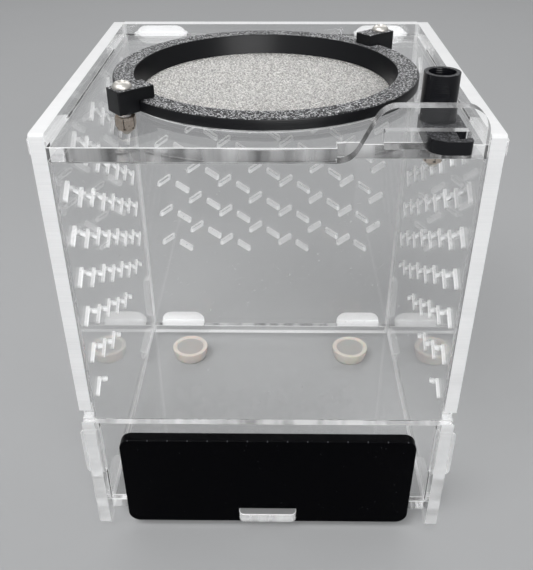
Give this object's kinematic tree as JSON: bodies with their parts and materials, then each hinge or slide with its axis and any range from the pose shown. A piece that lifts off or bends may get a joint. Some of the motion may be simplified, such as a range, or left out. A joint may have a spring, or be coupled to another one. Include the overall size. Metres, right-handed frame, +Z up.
{
  "type": "insect enclosure",
  "caption": "Small clear acrylic insect enclosure with a drop-down front door, swivel door latch, round mesh vent in the top and herringbone air slots.",
  "frame": {"origin": "on the table under the feet, at the middle of the overall width and length", "axes": "+Z up, +X to the right seen from the front, +Y from the door towards the back"},
  "size_m": [0.1252, 0.1276, 0.159],
  "materials": {
    "clear_acrylic": "polished clear sheet with bright laser-cut edges",
    "black_acrylic": "polished black sheet",
    "printed_plastic": "black 3-D print with a grainy top",
    "steel_mesh": "fine woven wire",
    "steel_screws": "bright stainless steel",
    "steel_nuts": "bright stainless steel",
    "foot_rubber": "translucent soft rubber"
  },
  "bodies": {
    "box": {"left_side_panel": "clear_acrylic", "right_side_panel": "clear_acrylic", "back_panel": "clear_acrylic", "top_panel": "clear_acrylic", "floor_panel": "clear_acrylic", "lower_front_panel": "clear_acrylic", "front_guard": "black_acrylic", "vent_frame": "printed_plastic", "vent_mesh": "steel_mesh", "front_vent_clamp": "printed_plastic", "rear_vent_clamp": "printed_plastic", "clamp_screws": "steel_screws", "latch_screw": "steel_screws", "lock_nuts": "steel_nuts", "foot_front_left": "foot_rubber", "foot_front_right": "foot_rubber", "foot_rear_left": "foot_rubber", "foot_rear_right": "foot_rubber"},
    "door": {"front_door": "clear_acrylic"},
    "latch": {"door_latch": "printed_plastic"}
  },
  "joints": [
    {"name": "door_swing", "type": "hinge", "parent": "box", "child": "door", "pos_m": [0, -0.0568, 0.051], "axis": [1, 0, 0], "range_deg": [0, 110]},
    {"name": "latch_turn", "type": "hinge", "parent": "box", "child": "latch", "pos_m": [0.0445, -0.046, 0.1436], "axis": [0, 0, 1], "range_deg": [-48, 12]}
  ]
}
